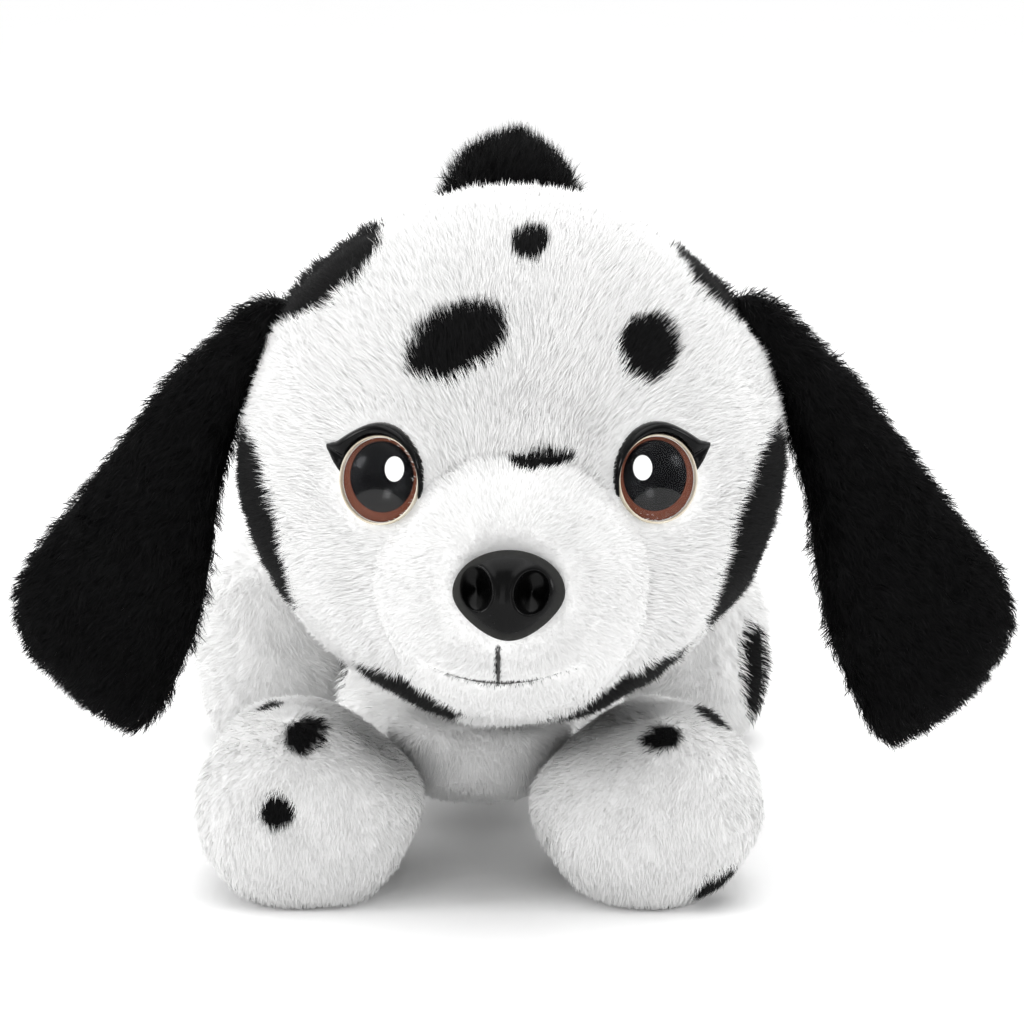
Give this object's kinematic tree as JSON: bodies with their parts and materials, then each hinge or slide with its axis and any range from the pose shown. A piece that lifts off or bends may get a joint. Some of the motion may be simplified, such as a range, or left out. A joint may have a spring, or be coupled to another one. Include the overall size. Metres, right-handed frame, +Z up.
{
  "type": "plush dog",
  "caption": "Spotted plush puppy standing low on stubby legs, with a large round head, long hanging ears, domed eyes and a short upright tail.",
  "frame": {"origin": "on the floor under the middle of the toy's box", "axes": "+Z up, the puppy faces -Y, +X to the right of someone facing it"},
  "size_m": [0.229, 0.2076, 0.1599],
  "materials": {
    "spotted_white_pile": "dense soft pile, white with black spots",
    "short_white_pile": "short soft white pile",
    "black_pile": "dense soft black pile with a light sheen",
    "fibre_filling": "matte polyester fibre",
    "black_plastic": "semi-gloss moulded",
    "eye_rim": "satin",
    "eye_disc": "printed, brown with a black pupil",
    "eye_dome": "high gloss clear dome",
    "dark_thread": "matte thread",
    "washer_plastic": "matte"
  },
  "bodies": {
    "torso": {"body_skin": "spotted_white_pile", "belly_panel": "spotted_white_pile", "body_stuffing": "fibre_filling"},
    "neck": {"neck_stuffing": "fibre_filling"},
    "head": {"muzzle_panel": "short_white_pile", "face_panel": "spotted_white_pile", "head_back": "spotted_white_pile", "head_stuffing": "fibre_filling", "nose": "black_plastic", "nose_washer": "washer_plastic", "mouth_smile": "dark_thread", "mouth_philtrum": "dark_thread", "eye_left_rim": "eye_rim", "eye_left_iris": "eye_disc", "eye_left_lens": "eye_dome", "eye_left_lid": "black_plastic", "eye_left_washer": "washer_plastic", "eye_right_rim": "eye_rim", "eye_right_iris": "eye_disc", "eye_right_lens": "eye_dome", "eye_right_lid": "black_plastic", "eye_right_washer": "washer_plastic"},
    "ear_left": {"ear_left_front": "black_pile", "ear_left_back": "black_pile", "ear_left_padding": "fibre_filling"},
    "ear_right": {"ear_right_front": "black_pile", "ear_right_back": "black_pile", "ear_right_padding": "fibre_filling"},
    "front_left_leg": {"front_left_leg_skin": "spotted_white_pile", "front_left_leg_stuffing": "fibre_filling"},
    "front_right_leg": {"front_right_leg_skin": "spotted_white_pile", "front_right_leg_stuffing": "fibre_filling"},
    "hind_left_leg": {"hind_left_leg_skin": "spotted_white_pile", "hind_left_leg_stuffing": "fibre_filling"},
    "hind_right_leg": {"hind_right_leg_skin": "spotted_white_pile", "hind_right_leg_stuffing": "fibre_filling"},
    "tail": {"tail_skin": "black_pile", "tail_stuffing": "fibre_filling"}
  },
  "joints": [
    {"name": "neck_turn", "type": "hinge", "parent": "torso", "child": "neck", "pos_m": [-0.003, 0.0215, 0.06], "axis": [0, 0, 1], "range_deg": [-7, 7], "stiffness_Nm_per_rad": 0.6},
    {"name": "head_nod", "type": "hinge", "parent": "neck", "child": "head", "pos_m": [-0.003, 0.0215, 0.06], "axis": [1, 0, 0], "range_deg": [-10, 2], "stiffness_Nm_per_rad": 3},
    {"name": "ear_left_swing", "type": "hinge", "parent": "head", "child": "ear_left", "pos_m": [-0.0592, -0.029, 0.119], "axis": [-0.3827, 0, -0.9239], "range_deg": [-35, 35], "stiffness_Nm_per_rad": 0.06},
    {"name": "ear_right_swing", "type": "hinge", "parent": "head", "child": "ear_right", "pos_m": [0.0592, -0.029, 0.119], "axis": [0.3827, 0, -0.9239], "range_deg": [-35, 35], "stiffness_Nm_per_rad": 0.06},
    {"name": "front_left_leg_swing", "type": "hinge", "parent": "torso", "child": "front_left_leg", "pos_m": [-0.048, -0.024, 0.022], "axis": [1, 0, 0], "range_deg": [-5, 14], "stiffness_Nm_per_rad": 1.5},
    {"name": "front_right_leg_swing", "type": "hinge", "parent": "torso", "child": "front_right_leg", "pos_m": [0.032, -0.024, 0.022], "axis": [1, 0, 0], "range_deg": [-5, 14], "stiffness_Nm_per_rad": 1.5},
    {"name": "hind_left_leg_swing", "type": "hinge", "parent": "torso", "child": "hind_left_leg", "pos_m": [-0.066, 0.078, 0.034], "axis": [1, 0, 0], "range_deg": [-14, 14], "stiffness_Nm_per_rad": 1.5},
    {"name": "hind_right_leg_swing", "type": "hinge", "parent": "torso", "child": "hind_right_leg", "pos_m": [0.05, 0.078, 0.034], "axis": [1, 0, 0], "range_deg": [-14, 14], "stiffness_Nm_per_rad": 1.5},
    {"name": "tail_wag", "type": "hinge", "parent": "torso", "child": "tail", "pos_m": [-0.008, 0.082, 0.0865], "axis": [0, 1, 0], "range_deg": [-22, 22], "stiffness_Nm_per_rad": 0.15}
  ]
}
